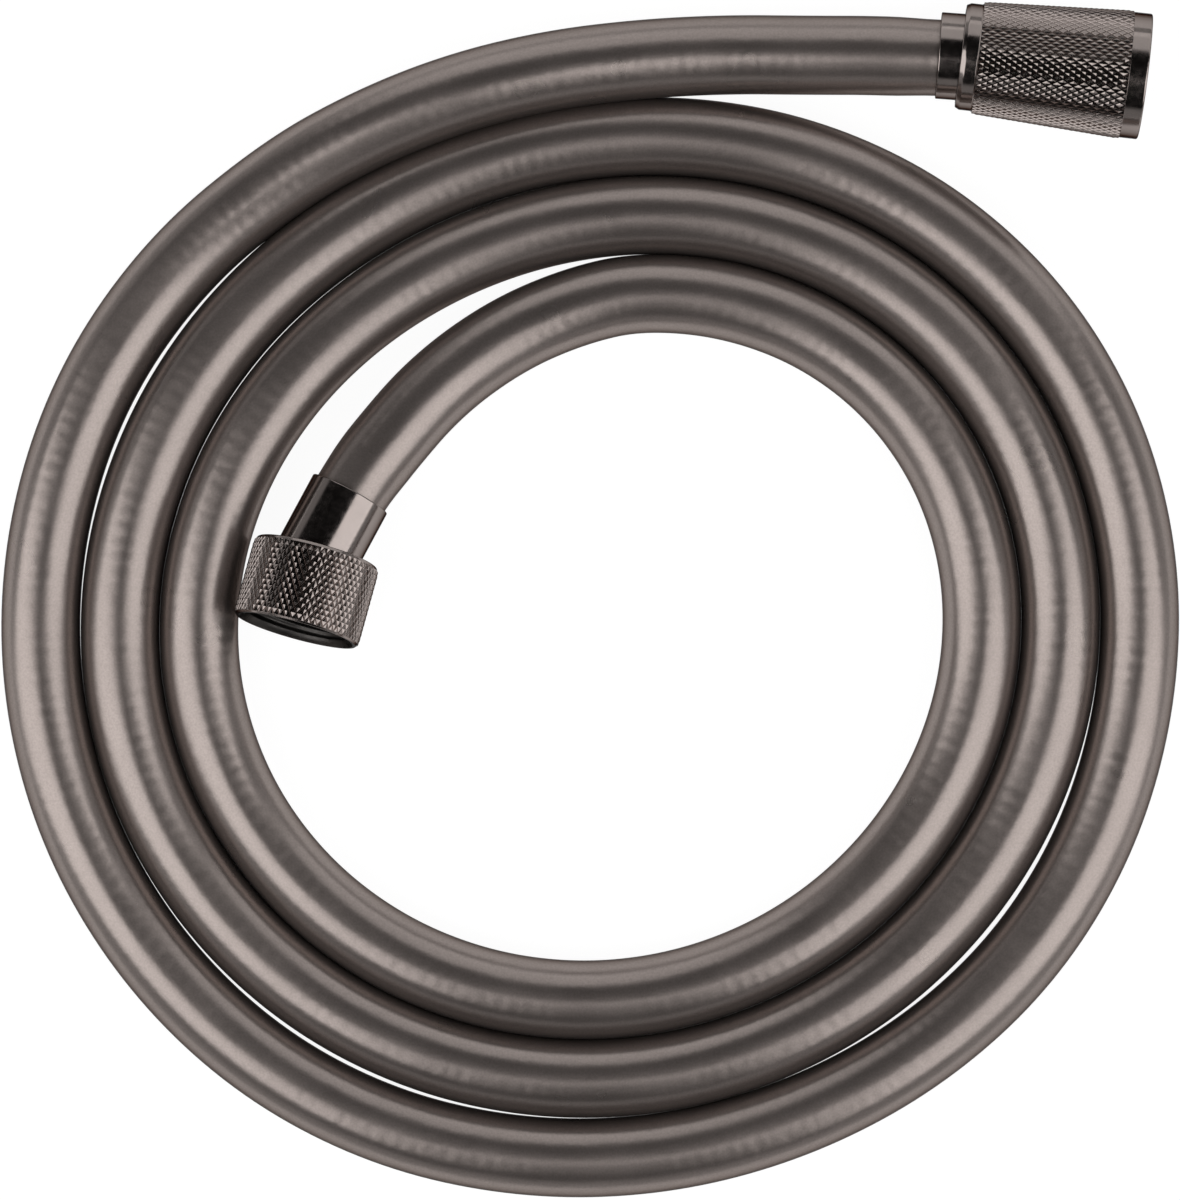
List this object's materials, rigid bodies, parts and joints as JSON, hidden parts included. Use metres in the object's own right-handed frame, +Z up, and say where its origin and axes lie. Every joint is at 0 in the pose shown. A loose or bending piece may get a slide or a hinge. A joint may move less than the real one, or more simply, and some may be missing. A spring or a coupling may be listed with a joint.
{
  "type": "coiled shower hose",
  "caption": "Smooth graphite hand shower hose wound into a flat coil, with a knurled union nut at the inner end and a long knurled conical swivel nut at the outer end.",
  "frame": {"origin": "under the middle of the whole object's box, on the surface that the coil lies on", "axes": "+Z up out of the surface, +Y towards the outer end's side of the coil, where the conical nut points along +X"},
  "size_m": [0.2147, 0.2183, 0.0258],
  "materials": {
    "hose_jacket": "satin metallic graphite PVC",
    "braid": "woven polyester",
    "liner": "soft translucent PVC",
    "polished_metal": "polished gunmetal plating",
    "crimp_steel": "plain stainless",
    "brass": "turned",
    "seal_rubber": "matt",
    "spring_steel": "drawn wire",
    "slip_plastic": "natural acetal"
  },
  "bodies": {
    "hose": {"hose_jacket_coil": "hose_jacket", "hose_jacket_lead": "hose_jacket", "hose_braid": "braid", "hose_liner": "liner", "wall_sleeve": "polished_metal", "wall_crimp_ring": "crimp_steel", "wall_insert": "brass", "shower_sleeve": "polished_metal", "shower_crimp_ring": "crimp_steel", "shower_insert": "brass", "swivel_snap_ring": "spring_steel", "swivel_washer": "slip_plastic"},
    "wall_seal": {"wall_seal": "seal_rubber"},
    "wall_nut": {"wall_nut": "polished_metal"},
    "swivel_stem": {"swivel_stem": "brass", "swivel_o_ring_rear": "seal_rubber", "swivel_o_ring_front": "seal_rubber", "shower_seal": "seal_rubber"},
    "shower_slip_ring": {"shower_slip_ring": "slip_plastic"},
    "shower_nut": {"shower_nut": "polished_metal"}
  },
  "joints": [
    {"name": "wall_nut_tilt", "type": "hinge", "parent": "hose", "child": "wall_seal", "pos_m": [-0.0497, 0.00775, 0.01205], "axis": [-0.8139, 0.1188, -0.5688], "range_deg": [0, 10]},
    {"name": "wall_nut_spin", "type": "hinge", "parent": "wall_seal", "child": "wall_nut", "pos_m": [-0.0497, 0.00775, 0.01205], "axis": [-0.2544, -0.9529, 0.165], "continuous": true},
    {"name": "shower_swivel", "type": "hinge", "parent": "hose", "child": "swivel_stem", "pos_m": [0.0634, 0.0994, 0.00983], "axis": [0.9915, -0.1182, 0.0536], "continuous": true},
    {"name": "shower_nut_slide", "type": "slide", "parent": "swivel_stem", "child": "shower_slip_ring", "axis": [-0.9915, 0.1182, -0.0536], "range_m": [0, 0.01]},
    {"name": "shower_nut_spin", "type": "hinge", "parent": "shower_slip_ring", "child": "shower_nut", "pos_m": [0.0634, 0.0994, 0.00983], "axis": [0.9915, -0.1182, 0.0536], "continuous": true}
  ]
}
